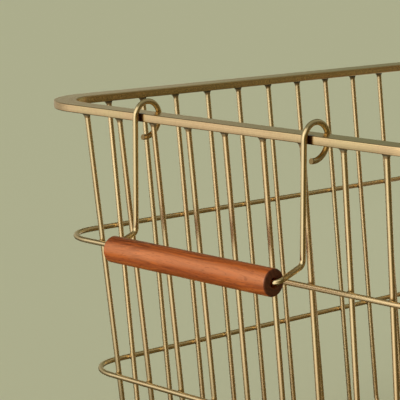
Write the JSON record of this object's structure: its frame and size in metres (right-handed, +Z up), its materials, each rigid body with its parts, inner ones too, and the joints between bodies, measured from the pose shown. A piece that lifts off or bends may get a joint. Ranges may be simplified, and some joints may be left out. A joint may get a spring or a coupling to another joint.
{
  "type": "wire storage basket",
  "caption": "Rectangular storage basket of brass-coloured wire with a flat rim, tapered walls and hanging bail handles with turned wooden grips.",
  "frame": {"origin": "on the ground, below the middle of the basket", "axes": "+X along the basket's length, towards the rear bail; +Z up; +Y to the left when looking along +X"},
  "size_m": [0.455, 0.288, 0.2274],
  "materials": {
    "brass_bar": "brushed satin, clear lacquered",
    "brass_wire": "satin, drawn wire",
    "bail_wire": "satin, drawn wire",
    "grip_wood": "reddish-brown stain with a satin lacquer"
  },
  "bodies": {
    "basket": {"rim": "brass_bar", "upper_ring": "brass_wire", "lower_ring": "brass_wire", "foot_ring": "brass_wire", "long_wire_1": "brass_wire", "long_wire_2": "brass_wire", "long_wire_3": "brass_wire", "long_wire_4": "brass_wire", "long_wire_5": "brass_wire", "long_wire_6": "brass_wire", "long_wire_7": "brass_wire", "long_wire_8": "brass_wire", "long_wire_9": "brass_wire", "cross_wire_1": "brass_wire", "cross_wire_2": "brass_wire", "cross_wire_3": "brass_wire", "cross_wire_4": "brass_wire", "cross_wire_5": "brass_wire", "cross_wire_6": "brass_wire", "cross_wire_7": "brass_wire", "cross_wire_8": "brass_wire", "cross_wire_9": "brass_wire", "cross_wire_10": "brass_wire", "cross_wire_11": "brass_wire", "cross_wire_12": "brass_wire", "cross_wire_13": "brass_wire"},
    "front_bail": {"front_bail": "bail_wire"},
    "rear_bail": {"rear_bail": "bail_wire"},
    "front_grip": {"front_grip": "grip_wood"},
    "rear_grip": {"rear_grip": "grip_wood"}
  },
  "joints": [
    {"name": "front_bail_swing", "type": "hinge", "parent": "basket", "child": "front_bail", "pos_m": [-0.196, -0.0022, 0.21799], "axis": [0, 1, 0], "range_deg": [0, 323]},
    {"name": "rear_bail_swing", "type": "hinge", "parent": "basket", "child": "rear_bail", "pos_m": [0.196, 0.0022, 0.21799], "axis": [0, -1, 0], "range_deg": [0, 323]},
    {"name": "front_grip_spin", "type": "hinge", "parent": "front_bail", "child": "front_grip", "pos_m": [-0.2209, -0.0022, 0.1548], "axis": [0, 1, 0], "continuous": true},
    {"name": "rear_grip_spin", "type": "hinge", "parent": "rear_bail", "child": "rear_grip", "pos_m": [0.2209, 0.0022, 0.1548], "axis": [0, -1, 0], "continuous": true}
  ]
}
